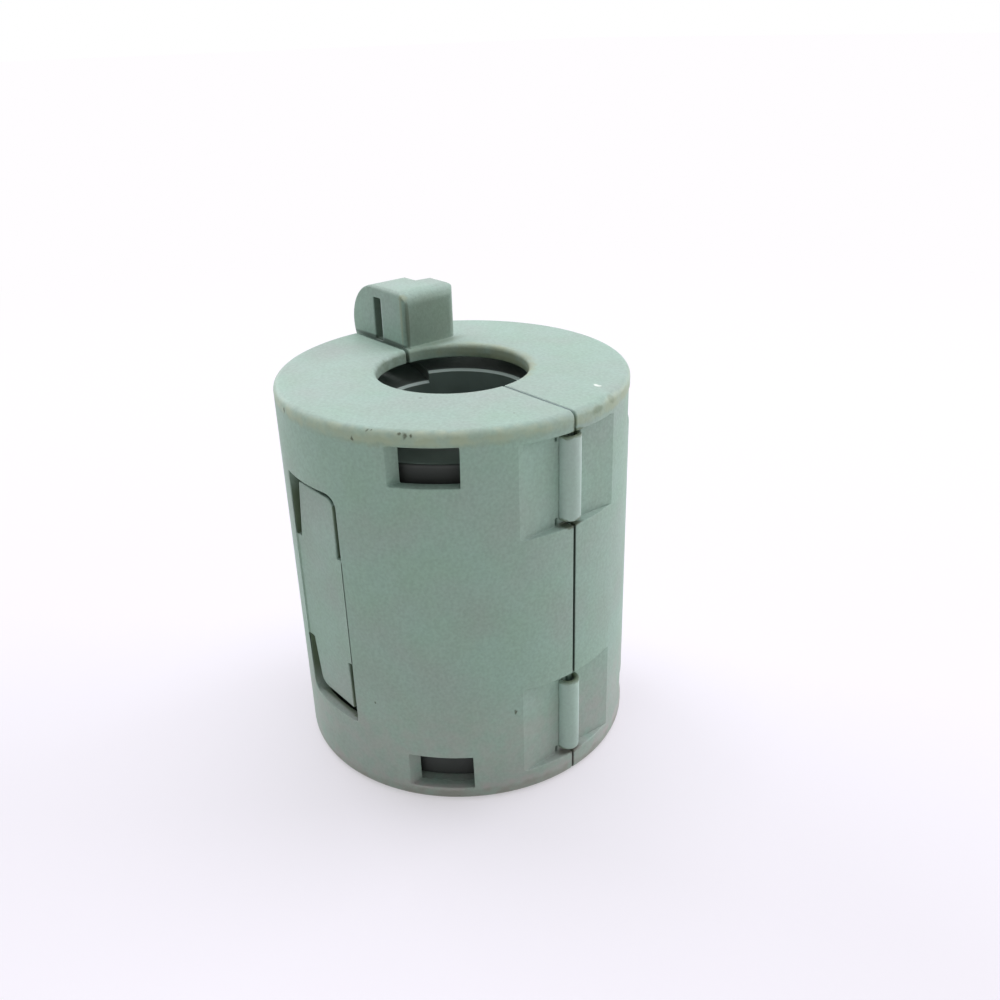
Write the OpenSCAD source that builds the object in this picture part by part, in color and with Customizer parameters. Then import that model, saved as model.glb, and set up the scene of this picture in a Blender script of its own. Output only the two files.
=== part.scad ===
// Hinged clamp filter for round cable: a moulded nylon case of two half shells, closed round two
// ferrite half cores.
// Frame: +Z runs up the cable bore, and the origin is the centre of the bore at the lower end of the case.
// The seam lies in the XZ plane. The living hinges are at +X, the snap latches at -X and the plate at -Y.

/* [Case] */
// Outside diameter of the closed case
case_d = 30; // [29.6:0.1:31]
// Length of the case along the bore, without the tie tab
case_l = 34; // [34:0.5:38]
// Diameter of the cable bore through the end walls and the cores
bore_d = 13; // [9:0.5:13.5]
// Thickness of the round side wall
side_wall_t = 1.05; // [0.85:0.05:1.1]
// Thickness of the two end walls
end_wall_t = 1.2; // [1.1:0.05:1.3]
// Gap between the two half shells along the seam, at the hinges
seam_gap = 0.2; // [0.1:0.05:0.4]
// Further gap at the latches, where the closed case springs open a little
seam_spring = 0.15; // [0:0.05:0.2]
// Edge radius of the two outer rims
rim_r = 0.6; // [0.3:0.1:0.8]
// Edge radius of the two mouths of the bore
mouth_r = 0.4; // [0.2:0.1:0.6]

/* [Ferrite cores] */
// Outside diameter of the closed core pair
core_d = 26.6; // [25.6:0.1:26.8]
// Length of each half core
core_l = 29.5; // [28:0.5:30]
// Edge radius round the outside of each half core
core_edge_r = 0.3; // [0.2:0.1:1]
// Chamfer round the bore of each half core
core_chamfer = 0.2; // [0.1:0.1:0.5]
// Height of the front core above the floor of the case
front_core_lift = 0.05; // [0.05:0.05:0.5]
// Height of the back core above the floor of the case
back_core_lift = 0.95; // [0.05:0.05:1.2]
// Angle by which the core pair has turned in the case, away from the seam
core_turn = -17.5; // [-20:0.5:20]

/* [Hinges and latches] */
// Depth of the flat pockets that hold the hinge straps and the latch loops
pocket_depth = 0.85; // [0.75:0.05:0.9]
// Lower end of the lower pocket
lower_pocket_z = 2.1; // [1.8:0.1:2.4]
// Length of the lower pocket
lower_pocket_l = 8.4; // [8:0.1:8.8]
// Lower end of the upper pocket
upper_pocket_z = 24.5; // [24.2:0.1:24.8]
// Length of the upper pocket
upper_pocket_l = 7.9; // [7.6:0.1:8]
// Gap between the lower end of a strap or loop and the lower end of its pocket
pocket_end_gap = 0.5; // [0.2:0.05:0.6]
// Outside radius of the half round that a closed hinge strap makes over the seam
strap_r = 0.97; // [0.9:0.01:1.2]
// Height of the straight legs that carry the half round of a hinge strap
strap_leg = 0.13; // [0.1:0.01:0.2]
// Thickness of a hinge strap
strap_t = 0.42; // [0.3:0.02:0.5]
// Length of a hinge strap along the case
strap_l = 7.1; // [6.6:0.05:7.2]
// Width of the relief slits in the pocket floor beside both ends of each strap foot
slit_w = 0.25; // [0.15:0.05:0.35]
// Length of the relief slits, from the end of the pocket
slit_l = 0.7; // [0.5:0.05:1]
// Depth of the relief slits below the pocket floor
slit_depth = 0.4; // [0.2:0.05:0.45]
// Reach of a latch loop past the seam
loop_reach = 3.7; // [3.4:0.1:4]

/* [Tie tab] */
// Height of the tie tab above the case
tab_h = 5; // [4.8:0.1:6]
// Width of the tab's inner block, from its face at the seam to its back
tab_w = 5.85; // [5:0.05:6]
// Distance from the bore's axis to the inner face of the tab
tab_inner_x = 6.88; // [6.8:0.02:7.6]
// Width of the slot that takes the cable tie
tie_slot_w = 1.15; // [0.9:0.05:1.2]
// Height of the slot that takes the cable tie
tie_slot_h = 3.9; // [3.5:0.1:4]
// Radius of the rounded outer post of the tab, as seen from the front
post_r = 3.95; // [3.8:0.05:4.1]

/* [Windows] */
// Distance from the bore's axis to the near edge of a core window
window_x = 8.04; // [7.8:0.02:8.4]
// Width of a core window
window_w = 4.06; // [3.5:0.02:4.2]
// Height of a core window
window_h = 3.24; // [2.8:0.02:3.4]
// Distance from the end of the case to a core window
window_end = 1.26; // [1.24:0.01:1.4]

/* [Side plate] */
// Half width of the opening that holds the side plate
plate_half_w = 3.5; // [3.3:0.01:3.6]
// Height of the opening that holds the side plate
plate_h = 21.5; // [21:0.1:22]
// Length of each spring tongue, from its root to its tip
tongue_l = 5; // [4.6:0.05:5.1]
// Half width of a spring tongue at its root
tongue_root_w = 2.75; // [2.6:0.05:2.95]
// Half width of a spring tongue at its tip
tongue_tip_w = 2.6; // [2.4:0.05:2.7]
// Thickness of the side plate and its tongues
plate_t = 0.8; // [0.7:0.05:0.85]
// Angle by which each tongue leans inwards, onto the core
tongue_lean = 2.8; // [2:0.1:3]

/* [Hidden] */
$fn = 96;

CASE_COLOUR = "#A9BBB2";
FERRITE_COLOUR = "#3C3D3E";

case_r = case_d / 2;
bore_r = bore_d / 2;
core_r = core_d / 2;
cavity_r = case_r - side_wall_t;
// Flats at the hinge and at the latches keep the wall thick under the pockets.
cavity_flat_x = core_r + 0.15;
pocket_x = case_r - pocket_depth;
lower_pocket = [lower_pocket_z, lower_pocket_z + lower_pocket_l];
upper_pocket = [upper_pocket_z, upper_pocket_z + upper_pocket_l];
pocket_ends = [lower_pocket, upper_pocket];
slit_gap = 0.1;
// The front of the plate lies just under the round wall at its own two sides.
plate_inset = 0.08;
plate_y = -sqrt(case_r * case_r - plate_half_w * plate_half_w) + plate_inset;
tip_gap = 0.8;
plate_middle_l = plate_h - 2 * (tongue_l + tip_gap);
plate_corner_r = 1.1;
tongue_corner_r = 0.9;
sharp_corner_r = 0.2;
mid_z = case_l / 2;
far = case_d;
// Overlap by which one moulded volume runs into the next.
lap = 0.1;

// Loop across the seam: gap over the pocket floor, width of its end bar, and where its window starts.
loop_gap = 0.05;
loop_bar_w = 1;
loop_window_y = 0.9;
loop_side_w = 1.4;
catch_rise = 0.58;
catch_land = 0.25;
catch_gap = 0.2;

// Tie tab: where its block and its post meet, and the radii of their edges.
tab_low_y = seam_gap / 2;
tab_top_z = case_l + tab_h;
tab_root = 0.6;
tab_plan_r = case_r + 0.35;
tab_flare_h = tab_root + 0.5;
block_outer_x = -10.15;
post_centre_x = -11.4;
post_inner_x = -9.9;
post_w = 4.7;
front_edge_r = 0.45;
inner_top_r = 1.2;
block_back_top_r = 0.6;
post_back_top_r = 1.1;
inner_back_r = 0.9;
outer_back_r = 0.3;
tie_slot_x = -11.7;

// Points along an arc, from one angle to the other.
function arc(centre, r, from, to, steps = 6) =
    [for (i = [0:steps]) let (a = from + (to - from) * i / steps) centre + r * [cos(a), sin(a)]];

// A block between two opposite corners.
module block(low, high) {
    translate(low) cube(high - low);
}

// Every point on the back's side of the seam, from half the seam gap outwards.
module back_side() {
    block([-far, seam_gap / 2, -far], [far, far, 2 * far]);
}

// Every point on the front's side of the seam, which slants away from the back towards the latches.
module front_side() {
    translate([case_r, -seam_gap / 2, 0]) rotate([0, 0, atan(seam_spring / case_d)])
        block([-2 * far, -2 * far, -far], [far, 0, 2 * far]);
}

// The closed case before it is parted: rounded rims, rounded bore mouths and the hollow for the cores.
module case_body() {
    difference() {
        rotate_extrude() polygon(concat(
            arc([case_r - rim_r, rim_r], rim_r, -90, 0),
            arc([case_r - rim_r, case_l - rim_r], rim_r, 0, 90),
            arc([bore_r + mouth_r, case_l - mouth_r], mouth_r, 90, 180),
            arc([bore_r + mouth_r, mouth_r], mouth_r, 180, 270)
        ));
        intersection() {
            translate([0, 0, end_wall_t]) cylinder(r = cavity_r, h = case_l - 2 * end_wall_t);
            block([-cavity_flat_x, -far, 0], [cavity_flat_x, far, case_l]);
        }
    }
}

// Windows over both ends of a core, cut straight through the wall in the direction that the mould opens.
module core_windows(side) {
    for (x_side = [-1, 1], z = [window_end, case_l - window_end - window_h]) {
        scale([x_side, side, 1]) block([window_x, core_r / 2, z], [window_x + window_w, far, z + window_h]);
    }
}

// Flat pockets across the seam, at the hinge (+1) or at the latches (-1).
module pockets(x_side) {
    for (ends = pocket_ends) {
        scale([x_side, 1, 1]) block([pocket_x, -far, ends[0]], [far, far, ends[1]]);
    }
}

// Outline of the plate's opening and of a tongue's tip: one corner is round, the other is nearly sharp.
module tip_outline(root_w, tip_w, h, round_r, sharp_r) {
    polygon(concat(
        [[-root_w, 0], [root_w, 0]],
        arc([tip_w - round_r, h - round_r], round_r, 0, 90),
        arc([-tip_w + sharp_r, h - sharp_r], sharp_r, 90, 180, 3)
    ));
}

// Both ends of the side plate: the same shape turned half round the plate's middle.
module both_plate_ends() {
    for (turn = [0, 180]) translate([0, 0, mid_z]) rotate([0, turn, 0]) children();
}

module plate_opening() {
    both_plate_ends() translate([0, -core_r, 0]) rotate([90, 0, 0]) linear_extrude(far)
        tip_outline(plate_half_w, plate_half_w, plate_h / 2, plate_corner_r, sharp_corner_r);
}

// Middle of the side plate, which joins the shell at both sides.
module plate_middle() {
    block(
        [-plate_half_w - lap, plate_y, mid_z - plate_middle_l / 2],
        [plate_half_w + lap, plate_y + plate_t, mid_z + plate_middle_l / 2]
    );
}

// Spring tongue that leans in on the core, so that the two half cores stay pressed together.
module spring_tongue() {
    translate([0, plate_y, plate_middle_l / 2]) rotate([-tongue_lean, 0, 0])
        translate([0, plate_t, -lap]) rotate([90, 0, 0]) linear_extrude(plate_t)
            tip_outline(tongue_root_w, tongue_tip_w, tongue_l + lap, tongue_corner_r, sharp_corner_r);
}

// Volume that each latch loop fills outside its own half: a flat strap with a window for the catch.
module loop_space() {
    for (ends = pocket_ends) {
        low = ends[0] + pocket_end_gap;
        high = ends[1] - pocket_end_gap;
        difference() {
            block([-far, -loop_bar_w, low], [-pocket_x - loop_gap, loop_reach, high]);
            block([-far, loop_window_y, low + loop_side_w], [0, loop_reach - loop_bar_w, high - loop_side_w]);
        }
    }
}

// Wedge that holds a latch loop: a ramp towards the seam and a steep face under the loop's end bar.
module catches() {
    steep_y = loop_reach - loop_bar_w - catch_gap;
    for (ends = pocket_ends) {
        inset = pocket_end_gap + loop_side_w + catch_gap;
        translate([0, 0, ends[0] + inset]) linear_extrude(ends[1] - ends[0] - 2 * inset) polygon([
            [-pocket_x + lap, loop_window_y + catch_gap],
            [-pocket_x, loop_window_y + catch_gap],
            [-pocket_x - catch_rise, steep_y - catch_land],
            [-pocket_x - catch_rise, steep_y],
            [-pocket_x + lap, steep_y]
        ]);
    }
}

// Lump of the tab: an outline seen from the front, w wide, rounded on top and, in plan, at its back corners.
module tab_lump(outline, outer_x, w, back_top_r) {
    root_z = case_l - tab_root;
    back_y = tab_low_y + w;
    intersection() {
        translate([0, far, 0]) rotate([90, 0, 0]) linear_extrude(far) polygon(outline);
        translate([-far, 0, 0]) rotate([90, 0, 90]) linear_extrude(far) polygon(concat(
            [[tab_low_y, root_z], [back_y, root_z]],
            arc([back_y - back_top_r, tab_top_z - back_top_r], back_top_r, 0, 90),
            arc([tab_low_y + front_edge_r, tab_top_z - front_edge_r], front_edge_r, 90, 180)
        ));
        translate([0, 0, root_z]) linear_extrude(tab_top_z) polygon(concat(
            [[outer_x, tab_low_y]],
            arc([-tab_inner_x - front_edge_r, tab_low_y + front_edge_r], front_edge_r, -90, 0),
            arc([-tab_inner_x - inner_back_r, back_y - inner_back_r], inner_back_r, 0, 90),
            arc([outer_x + outer_back_r, back_y - outer_back_r], outer_back_r, 90, 180)
        ));
    }
}

// Inner block of the tab, the wider of the two.
module tab_block() {
    root_z = case_l - tab_root;
    tab_lump(
        concat(
            [[block_outer_x, root_z], [-tab_inner_x, root_z]],
            arc([-tab_inner_x - inner_top_r, tab_top_z - inner_top_r], inner_top_r, 0, 90),
            [[block_outer_x, tab_top_z]]
        ),
        block_outer_x, tab_w, block_back_top_r
    );
}

// Outer post of the tab, with one large round over its top and its outside.
module tab_post() {
    root_z = case_l - tab_root;
    centre = [post_centre_x, tab_top_z - post_r];
    root_angle = 180 + asin((centre[1] - root_z) / post_r);
    tab_lump(
        concat([[post_inner_x, root_z], [post_inner_x, tab_top_z]], arc(centre, post_r, 90, root_angle, 20)),
        -far, post_w, post_back_top_r
    );
}

// Tie tab: its block and post, kept within a round plan, less the slot for the cable tie.
module tie_tab() {
    difference() {
        intersection() {
            union() {
                tab_block();
                tab_post();
            }
            union() {
                translate([0, 0, case_l - tab_root]) cylinder(r1 = case_r, r2 = tab_plan_r, h = tab_flare_h);
                translate([0, 0, case_l - tab_root + tab_flare_h - lap])
                    cylinder(r = tab_plan_r, h = tab_top_z);
            }
        }
        block([tie_slot_x, 0, case_l], [tie_slot_x + tie_slot_w, far, case_l + tie_slot_h]);
    }
}

// Half core: half a ring with rounded outer edges and a chamfered bore, standing on its own end.
module half_core(lift) {
    translate([0, 0, end_wall_t + lift]) rotate_extrude(angle = 180) polygon(concat(
        arc([core_r - core_edge_r, core_edge_r], core_edge_r, -90, 0),
        arc([core_r - core_edge_r, core_l - core_edge_r], core_edge_r, 0, 90),
        [
            [bore_r + core_chamfer, core_l],
            [bore_r, core_l - core_chamfer],
            [bore_r, core_chamfer],
            [bore_r + core_chamfer, 0]
        ]
    ));
}

// Slits in the pocket floors beside both ends of each strap foot, which let the straps flex at their roots.
module relief_slits() {
    near_y = strap_r + slit_gap;
    for (ends = pocket_ends, side = [-1, 1], z = [ends[0], ends[1] - slit_l]) {
        scale([1, side, 1]) block([pocket_x - slit_depth, near_y, z], [far, near_y + slit_w, z + slit_l]);
    }
}

// Living hinge: a half-round strap that stands with its two feet on the pocket floors of the two shells.
module hinge_strap(low) {
    translate([pocket_x + strap_leg, 0, low]) rotate([0, 0, -90]) rotate_extrude(angle = 180)
        translate([strap_r - strap_t, 0]) square([strap_t, strap_l]);
    for (side = [-1, 1]) {
        scale([1, side, 1])
            block([pocket_x, strap_r - strap_t, low], [pocket_x + strap_leg, strap_r, low + strap_l]);
    }
}

module front_shell() color(CASE_COLOUR) {
    difference() {
        intersection() {
            case_body();
            union() {
                front_side();
                loop_space();
            }
        }
        pockets(1);
        relief_slits();
        core_windows(-1);
        plate_opening();
    }
    plate_middle();
    both_plate_ends() spring_tongue();
}

module back_shell() color(CASE_COLOUR) {
    difference() {
        intersection() {
            case_body();
            back_side();
        }
        pockets(1);
        relief_slits();
        pockets(-1);
        core_windows(1);
    }
    catches();
    tie_tab();
}

module front_core() color(FERRITE_COLOUR) rotate([0, 0, 180 + core_turn]) half_core(front_core_lift);

module back_core() color(FERRITE_COLOUR) rotate([0, 0, core_turn]) half_core(back_core_lift);

module upper_hinge_strap() color(CASE_COLOUR) hinge_strap(upper_pocket[0] + pocket_end_gap);

module lower_hinge_strap() color(CASE_COLOUR) hinge_strap(lower_pocket[0] + pocket_end_gap);

front_shell();
back_shell();
front_core();
back_core();
upper_hinge_strap();
lower_hinge_strap();
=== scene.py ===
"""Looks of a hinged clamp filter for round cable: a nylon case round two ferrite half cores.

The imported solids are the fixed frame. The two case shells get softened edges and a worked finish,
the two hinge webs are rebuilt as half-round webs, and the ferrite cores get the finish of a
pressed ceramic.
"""

from __future__ import annotations

import logging
import math
from dataclasses import dataclass, field
from enum import Enum

import bpy
from mathutils import Matrix, Vector

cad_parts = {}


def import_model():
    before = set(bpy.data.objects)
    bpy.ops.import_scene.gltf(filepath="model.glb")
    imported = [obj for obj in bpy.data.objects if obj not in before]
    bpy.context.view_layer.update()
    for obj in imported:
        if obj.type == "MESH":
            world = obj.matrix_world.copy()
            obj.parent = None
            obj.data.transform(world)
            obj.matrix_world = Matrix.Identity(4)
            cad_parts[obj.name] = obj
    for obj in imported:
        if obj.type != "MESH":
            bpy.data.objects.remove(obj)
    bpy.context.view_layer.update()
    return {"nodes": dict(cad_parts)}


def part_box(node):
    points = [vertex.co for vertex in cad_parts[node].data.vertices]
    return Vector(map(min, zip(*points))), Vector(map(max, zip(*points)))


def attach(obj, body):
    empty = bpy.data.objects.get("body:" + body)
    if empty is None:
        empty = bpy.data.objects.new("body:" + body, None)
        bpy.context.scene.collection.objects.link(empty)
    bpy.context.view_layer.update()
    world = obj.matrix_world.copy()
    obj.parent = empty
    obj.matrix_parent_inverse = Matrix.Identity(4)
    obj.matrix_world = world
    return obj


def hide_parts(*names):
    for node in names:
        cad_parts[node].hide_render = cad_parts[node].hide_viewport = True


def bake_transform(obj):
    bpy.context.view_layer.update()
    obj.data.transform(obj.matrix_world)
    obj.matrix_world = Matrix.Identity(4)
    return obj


LOG = logging.getLogger("clamp_filter")
MM = 0.001

Pair = tuple[float, float]
Triple = tuple[float, float, float]
Colour = tuple[float, float, float, float]
Tree = bpy.types.NodeTree
Socket = bpy.types.NodeSocket

# The sRGB curve: a straight foot up to the knee, and a power curve above it.
SRGB_KNEE, SRGB_FOOT, SRGB_SHIFT, SRGB_POWER = 0.04045, 12.92, 0.055, 2.4

# Sockets of a Mix node that mixes colours.
MIX_FACTOR, MIX_A, MIX_B, MIX_RESULT = 0, 6, 7, 2

# Mean of a noise, and the two ends of the range that nearly all of its values lie in.
NOISE_MEAN, NOISE_LOW, NOISE_HIGH = 0.5, 0.3, 0.7

# Faces across each softened edge.
EDGE_SEGMENTS = 2

# Height of a speck against its width, and the share of its reach over which it fades.
SPECK_TALL, SPECK_SOFT = 1.5, 0.7


def linear(hex_code: str) -> Colour:
    """Turns an sRGB hex colour to linear light.

    Args:
        hex_code: Colour such as "#A6BBB3".

    Returns:
        Red, green and blue in linear light, and an alpha of 1.
    """
    parts = [int(hex_code[i : i + 2], 16) / 255 for i in (1, 3, 5)]
    red, green, blue = (
        c / SRGB_FOOT if c <= SRGB_KNEE else ((c + SRGB_SHIFT) / (1 + SRGB_SHIFT)) ** SRGB_POWER
        for c in parts
    )
    return red, green, blue, 1.0


def per_mm(size_mm: float) -> float:
    """Scale of a pattern on coordinates in metres whose cells are size_mm wide."""
    return 1 / (size_mm * MM)


def new_material(name: str) -> tuple[bpy.types.Material, Tree]:
    """Makes a material with no nodes.

    Args:
        name: Name of the material.

    Returns:
        The material and its node tree.
    """
    material = bpy.data.materials.new(name)
    material.use_nodes = True
    material.node_tree.nodes.clear()
    return material, material.node_tree


def add(tree: Tree, kind: str, inputs: dict | None = None, **settings) -> bpy.types.Node:
    """Adds a node with its settings, values and links.

    Args:
        tree: Node tree that gets the node.
        kind: Blender's type name of the node.
        inputs: Input names or numbers, each with the value or the output socket that it takes.
        **settings: Attributes of the node.

    Returns:
        The new node.
    """
    node = tree.nodes.new(kind)
    for name, value in settings.items():
        setattr(node, name, value)
    for name, value in (inputs or {}).items():
        if isinstance(value, bpy.types.NodeSocket):
            tree.links.new(value, node.inputs[name])
        else:
            node.inputs[name].default_value = value
    return node


class DirtAndPaintedLight(Enum):
    """What a marked place on the case shows, as its sRGB colour: the case's own grime, stains,
    dust, wear and chips, and also painted shade and painted highlights.
    """

    # Painted shade: a dark colour put in gaps, slots and hollows, where shade falls.
    SHADE = "#2B332B"
    # Grime, which in the tie tab's slot and at the ends of the webs is also painted shade.
    GRIME_AND_SHADE = "#474B35"
    STAIN = "#9BA187"
    # Painted highlight on the rims, as a rounder rim would catch from the overhead lamp, over
    # rubbed wear.
    RUBBED_AND_HIGHLIT = "#C2CAB6"
    # Olive grime, which on the walls of the slits round the side plate is also painted shade.
    OLIVE = "#67745C"
    DUST = "#BBADB1"
    CHIP = "#F2F6F3"
    # Painted highlight on edges, on the webs' crests and in the top of the seam, and the whitening
    # of the flexed webs, which is partly painted light.
    HIGHLIGHT_AND_WHITENING = "#CEDADC"


class Space(Enum):
    """Coordinates that a mark is measured in.

    PLAIN is X, Y and Z. RAGGED is the same, moved about by noise. ROUND is the distance from the
    bore's axis, the length along the round wall from the hinges, and Z, also moved about.
    """

    PLAIN = "plain"
    RAGGED = "ragged"
    ROUND = "round"


@dataclass(frozen=True)
class Mark:
    """A marked place: strongest round its centre and gone at its reach along each axis.

    Attributes:
        dirt_and_painted_light: What the place shows.
        centre: Centre of the mark, in millimetres.
        reach: Half sizes of the mark along the three axes, in millimetres.
        strength: Share of the mark's colour at the centre.
        space: Coordinates that the centre and the reach are measured in.
        soft: Share of the reach over which the mark fades.
        square: True for a block with straight sides, False for a round patch.
    """

    dirt_and_painted_light: DirtAndPaintedLight
    centre: Triple
    reach: Triple
    strength: float = 1.0
    space: Space = Space.RAGGED
    soft: float = 0.55
    square: bool = False


def speck(x: float, y: float, z: float, size: float = 0.2, strength: float = 0.85) -> Mark:
    """A small dark speck with its centre and half size in millimetres."""
    return Mark(DirtAndPaintedLight.GRIME_AND_SHADE, (x, y, z), (size, size, size * SPECK_TALL), strength, soft=SPECK_SOFT)


def block(dirt_and_painted_light: DirtAndPaintedLight, centre: Triple, reach: Triple, strength: float, soft: float = 0.25) -> Mark:
    """A straight-sided mark that keeps to the faces inside it."""
    return Mark(dirt_and_painted_light, centre, reach, strength, Space.PLAIN, soft, True)


@dataclass(frozen=True)
class MouldedNylon:
    """Nylon 66, injection moulded in a spark-eroded tool: pale grey green with a waxy matt skin.

    Attributes:
        cool: Colour of the nylon's bluer patches.
        warm: Colour of its handled, yellower patches.
        worn: Colour of its rubbed, greyer patches.
        mottle_mm: Width of the bluer and yellower patches.
        worn_mm: Width of the rubbed patches.
        worn_span: Values of their noise between which they come up.
        worn_share: Share of the rubbed colour where it is strongest.
        grain_mm: Width of one pit of the spark-eroded skin. A real pit is about 0.05 mm wide,
            which is too fine to show, so it is drawn coarser.
        grain_depth_mm: Depth of one pit.
        grain_relief: Share of that depth that the light shows.
        grain_tone: Shares of the colour at the bottom and at the top of the grain.
        ragged_mm: Distance by which noise moves the edges of the marks.
        patch_mm: Width of the gaps in the long stains and in the painted highlight along the rims.
        patch_span: Values of their noise between which the gaps close.
        patch_cover: Shares of a long stain, and of the rims' painted highlight, left in a gap and
            outside it.
        roughness: Roughness of the glossiest and of the dullest patches.
        ior: Index of refraction of nylon.
        wall_mm: Outside radius of the round wall, on which lengths along the wall are measured.
    """

    cool: str = "#A1B9B4"
    warm: str = "#9DB5A7"
    worn: str = "#A4ACAB"
    mottle_mm: float = 3.2
    worn_mm: float = 6.08
    worn_span: Pair = (0.42, 0.72)
    worn_share: float = 0.7
    grain_mm: float = 0.26
    grain_depth_mm: float = 0.02
    grain_relief: float = 0.7
    grain_tone: Pair = (0.91, 1.07)
    ragged_mm: float = 0.8
    patch_mm: float = 1.4
    patch_span: Pair = (0.38, 0.6)
    patch_cover: Pair = (0.35, 1.0)
    roughness: Pair = (0.5, 0.64)
    ior: float = 1.53
    wall_mm: float = 15.0

    def build(self, name: str, marks: list[Mark], rest_attribute: str = "") -> bpy.types.Material:
        """Makes the nylon with its own marks.

        Args:
            name: Name of the material.
            marks: Dirty and worn places, painted shade and painted highlights, each lying over the
                ones before it.
            rest_attribute: Attribute with each point's place at rest, for a piece that bends.
                Without one, the patterns read the object's coordinates.

        Returns:
            The material.
        """
        material, tree = new_material(name)
        if rest_attribute:
            source = add(tree, "ShaderNodeAttribute", attribute_name=rest_attribute)
            place = source.outputs["Vector"]
        else:
            place = add(tree, "ShaderNodeTexCoord").outputs["Object"]
        patches = add(
            tree,
            "ShaderNodeTexNoise",
            {"Vector": place, "Scale": per_mm(self.mottle_mm), "Detail": 4.0},
        ).outputs["Fac"]
        pits = add(
            tree,
            "ShaderNodeTexNoise",
            {"Vector": place, "Scale": per_mm(self.grain_mm), "Detail": 2.0},
        ).outputs["Fac"]
        dark, light = self.grain_tone
        speckle = add(
            tree,
            "ShaderNodeMapRange",
            {
                "Value": pits,
                "From Min": NOISE_LOW,
                "From Max": NOISE_HIGH,
                "To Min": dark,
                "To Max": light,
            },
        )
        colour = add(
            tree,
            "ShaderNodeVectorMath",
            {0: self.body(tree, place, patches), 1: speckle.outputs["Result"]},
            operation="MULTIPLY",
        ).outputs["Vector"]
        spaces = self.spaces(tree, place)
        patchy = self.gaps(tree, place)
        for mark in marks:
            cover = patchy if mark.space is Space.ROUND else None
            colour = self.lay(tree, colour, spaces[mark.space], mark, cover)
        glossy, dull = self.roughness
        gloss = add(
            tree,
            "ShaderNodeMapRange",
            {
                "Value": patches,
                "From Min": NOISE_LOW,
                "From Max": NOISE_HIGH,
                "To Min": glossy,
                "To Max": dull,
            },
        )
        relief = add(
            tree,
            "ShaderNodeBump",
            {"Height": pits, "Strength": self.grain_relief, "Distance": self.grain_depth_mm * MM},
        )
        # Nylon's skin is too rough to mirror anything, and gives only a soft sheen.
        shader = add(
            tree,
            "ShaderNodeBsdfPrincipled",
            {
                "Base Color": colour,
                "Roughness": gloss.outputs["Result"],
                "IOR": self.ior,
                "Normal": relief.outputs["Normal"],
            },
        )
        add(tree, "ShaderNodeOutputMaterial", {"Surface": shader.outputs["BSDF"]})
        return material

    def body(self, tree: Tree, place: Socket, patches: Socket) -> Socket:
        """Adds the clean nylon's own colour, which wanders between three near tones.

        Args:
            tree: Node tree of the material.
            place: Coordinates of the patterns.
            patches: Noise of the bluer and yellower patches.

        Returns:
            The colour.
        """
        two_tone = add(
            tree,
            "ShaderNodeMix",
            {MIX_FACTOR: patches, MIX_A: linear(self.cool), MIX_B: linear(self.warm)},
            data_type="RGBA",
        ).outputs[MIX_RESULT]
        rubbed = add(
            tree,
            "ShaderNodeTexNoise",
            {"Vector": place, "Scale": per_mm(self.worn_mm), "Detail": 6.0},
        ).outputs["Fac"]
        low, high = self.worn_span
        share = add(
            tree,
            "ShaderNodeMapRange",
            {"Value": rubbed, "From Min": low, "From Max": high, "To Max": self.worn_share},
        ).outputs["Result"]
        return add(
            tree,
            "ShaderNodeMix",
            {MIX_FACTOR: share, MIX_A: two_tone, MIX_B: linear(self.worn)},
            data_type="RGBA",
        ).outputs[MIX_RESULT]

    def gaps(self, tree: Tree, place: Socket) -> Socket:
        """Adds the gaps that are worn in the long stains.

        Args:
            tree: Node tree of the material.
            place: Coordinates of the patterns.

        Returns:
            The share of a long stain that is left at each point.
        """
        worn = add(
            tree,
            "ShaderNodeTexNoise",
            {"Vector": place, "Scale": per_mm(self.patch_mm), "Detail": 4.0},
        ).outputs["Fac"]
        low, high = self.patch_span
        thin, full = self.patch_cover
        return add(
            tree,
            "ShaderNodeMapRange",
            {"Value": worn, "From Min": low, "From Max": high, "To Min": thin, "To Max": full},
        ).outputs["Result"]

    def spaces(self, tree: Tree, place: Socket) -> dict[Space, Socket]:
        """Adds the coordinates that marks are measured in.

        Args:
            tree: Node tree of the material.
            place: Plain coordinates.

        Returns:
            The coordinates by space.
        """
        warp = add(
            tree,
            "ShaderNodeTexNoise",
            {"Vector": place, "Scale": per_mm(self.ragged_mm), "Detail": 3.0},
        )
        centred = add(
            tree,
            "ShaderNodeVectorMath",
            {0: warp.outputs["Color"], 1: (NOISE_MEAN, NOISE_MEAN, NOISE_MEAN)},
            operation="SUBTRACT",
        )
        ragged = add(
            tree,
            "ShaderNodeVectorMath",
            {0: centred.outputs["Vector"], 1: (self.ragged_mm * MM,) * 3, 2: place},
            operation="MULTIPLY_ADD",
        ).outputs["Vector"]
        apart = add(tree, "ShaderNodeSeparateXYZ", {0: ragged})
        x, y, z = (apart.outputs[axis] for axis in "XYZ")
        flat = add(tree, "ShaderNodeCombineXYZ", {"X": x, "Y": y}).outputs["Vector"]
        radius = add(tree, "ShaderNodeVectorMath", {0: flat}, operation="LENGTH")
        turn = add(tree, "ShaderNodeMath", {0: y, 1: x}, operation="ARCTAN2")
        along = add(
            tree,
            "ShaderNodeMath",
            {0: turn.outputs["Value"], 1: self.wall_mm * MM},
            operation="MULTIPLY",
        )
        wall = add(
            tree,
            "ShaderNodeCombineXYZ",
            {"X": radius.outputs["Value"], "Y": along.outputs["Value"], "Z": z},
        ).outputs["Vector"]
        return {Space.PLAIN: place, Space.RAGGED: ragged, Space.ROUND: wall}

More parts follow.
